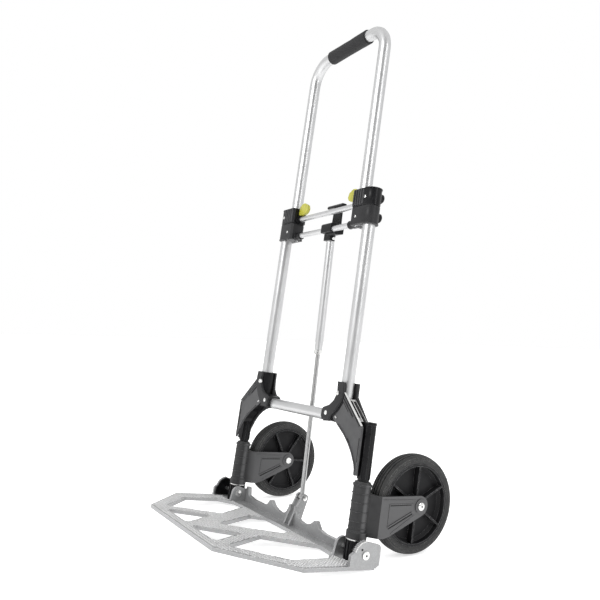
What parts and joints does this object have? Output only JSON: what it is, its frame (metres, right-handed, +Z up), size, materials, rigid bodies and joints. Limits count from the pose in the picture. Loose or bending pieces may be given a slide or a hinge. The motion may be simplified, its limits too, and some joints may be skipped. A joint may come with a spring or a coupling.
{
  "type": "folding luggage cart",
  "caption": "Folding hand cart with a telescopic U handle, a slotted toe plate, swivelling wheel forks and a push rod that folds the plate and wheels.",
  "frame": {"origin": "centre of the bounding box at ground level", "axes": "+X to the right side of the cart, -Y to the front where the toe plate points, +Z up; the tubes lean back by 7.7 degrees"},
  "size_m": [0.5434, 0.4492, 1.0496],
  "materials": {
    "tube_metal": "satin anodised",
    "cast_metal": "cast, slightly rough",
    "bright_steel": "zinc plated",
    "dark_plastic": "fine grain",
    "black_plastic": "fine grain",
    "foam": "soft foam",
    "tyre_rubber": "matte",
    "lever_plastic": "gloss"
  },
  "bodies": {
    "frame": {"brace_strip_L": "bright_steel", "brace_strip_R": "bright_steel", "bracket_bolt_L_1": "bright_steel", "bracket_bolt_L_2": "bright_steel", "bracket_bolt_R_1": "bright_steel", "bracket_bolt_R_2": "bright_steel", "bracket_core_L": "black_plastic", "bracket_core_R": "black_plastic", "bracket_front_L": "dark_plastic", "bracket_front_R": "dark_plastic", "bracket_rear_L": "dark_plastic", "bracket_rear_R": "dark_plastic", "foot_block_L": "black_plastic", "foot_block_R": "black_plastic", "lower_crossbar": "tube_metal", "main_tube_L": "tube_metal", "main_tube_R": "tube_metal", "pivot_bolt_inner_L": "bright_steel", "pivot_bolt_inner_R": "bright_steel", "pivot_bolt_outer_L": "bright_steel", "pivot_bolt_outer_R": "bright_steel", "post_barrel_L": "black_plastic", "post_barrel_R": "black_plastic", "post_pin_L": "bright_steel", "post_pin_R": "bright_steel", "rear_bumper_upper_L": "black_plastic", "rear_bumper_upper_R": "black_plastic", "thrust_washer_L": "bright_steel", "thrust_washer_R": "bright_steel", "upper_block_L": "black_plastic", "upper_block_R": "black_plastic", "upper_cross_tube": "tube_metal"},
    "push_rod": {"push_rod": "bright_steel"},
    "guide_tube": {"rod_guide_tube": "tube_metal"},
    "handle": {"handle_tube": "tube_metal", "foam_grip": "foam", "lower_block_L": "black_plastic", "lower_block_R": "black_plastic", "lower_cross_tube": "tube_metal", "centre_clamp": "black_plastic", "hook_plate": "black_plastic", "yoke_rivet": "bright_steel", "rear_bumper_lower_L": "black_plastic", "rear_bumper_lower_R": "black_plastic"},
    "toe_plate": {"toe_plate": "cast_metal", "lug_pin_L": "bright_steel", "lug_pin_R": "bright_steel"},
    "lever_L": {"release_lever_L": "lever_plastic"},
    "lever_R": {"release_lever_R": "lever_plastic"},
    "fork_L": {"wheel_fork_L": "dark_plastic", "axle_L": "bright_steel", "axle_nut_L": "bright_steel"},
    "wheel_L": {"tyre_L": "tyre_rubber", "wheel_hub_L": "dark_plastic"},
    "fork_R": {"wheel_fork_R": "dark_plastic", "axle_R": "bright_steel", "axle_nut_R": "bright_steel"},
    "wheel_R": {"tyre_R": "tyre_rubber", "wheel_hub_R": "dark_plastic"}
  },
  "joints": [
    {"name": "plate_fold", "type": "hinge", "parent": "frame", "child": "toe_plate", "pos_m": [0, 0.00178, 0.02703], "axis": [-1, 0, 0], "range_deg": [0, 90]},
    {"name": "rod_slide", "type": "slide", "parent": "frame", "child": "push_rod", "axis": [0, -0.134, -0.991], "range_m": [0, 0.0764]},
    {"name": "handle_slide", "type": "slide", "parent": "push_rod", "child": "handle", "axis": [0, -0.134, -0.991], "range_m": [0, 0.204]},
    {"name": "guide_slide", "type": "slide", "parent": "push_rod", "child": "guide_tube", "axis": [0, -0.1022, -0.9948], "range_m": [0, 0.2044]},
    {"name": "fork_swivel_L", "type": "hinge", "parent": "frame", "child": "fork_L", "pos_m": [-0.2265, 0.01954, 0.09123], "axis": [0, -0.134, -0.991], "range_deg": [0, 90]},
    {"name": "fork_swivel_R", "type": "hinge", "parent": "frame", "child": "fork_R", "pos_m": [0.2265, 0.01954, 0.09123], "axis": [0, 0.134, 0.991], "range_deg": [0, 90]},
    {"name": "wheel_spin_L", "type": "hinge", "parent": "fork_L", "child": "wheel_L", "pos_m": [-0.2308, 0.13461, 0.09], "axis": [1, 0, 0], "continuous": true},
    {"name": "wheel_spin_R", "type": "hinge", "parent": "fork_R", "child": "wheel_R", "pos_m": [0.2308, 0.13461, 0.09], "axis": [1, 0, 0], "continuous": true},
    {"name": "lever_press_L", "type": "hinge", "parent": "frame", "child": "lever_L", "pos_m": [-0.104, 0.09191, 0.67126], "axis": [0, 0.991, -0.134], "range_deg": [0, 12], "stiffness_Nm_per_rad": 0.3},
    {"name": "lever_press_R", "type": "hinge", "parent": "frame", "child": "lever_R", "pos_m": [0.104, 0.09191, 0.67126], "axis": [0, -0.991, 0.134], "range_deg": [0, 12], "stiffness_Nm_per_rad": 0.3}
  ],
  "couplings": [
    {"joint": "rod_slide", "follows": "plate_fold", "m_per_rad": 0.048447},
    {"joint": "fork_swivel_L", "follows": "plate_fold", "ratio": 1},
    {"joint": "fork_swivel_R", "follows": "plate_fold", "ratio": 1},
    {"joint": "guide_slide", "follows": "handle_slide", "ratio": 1.0005}
  ]
}
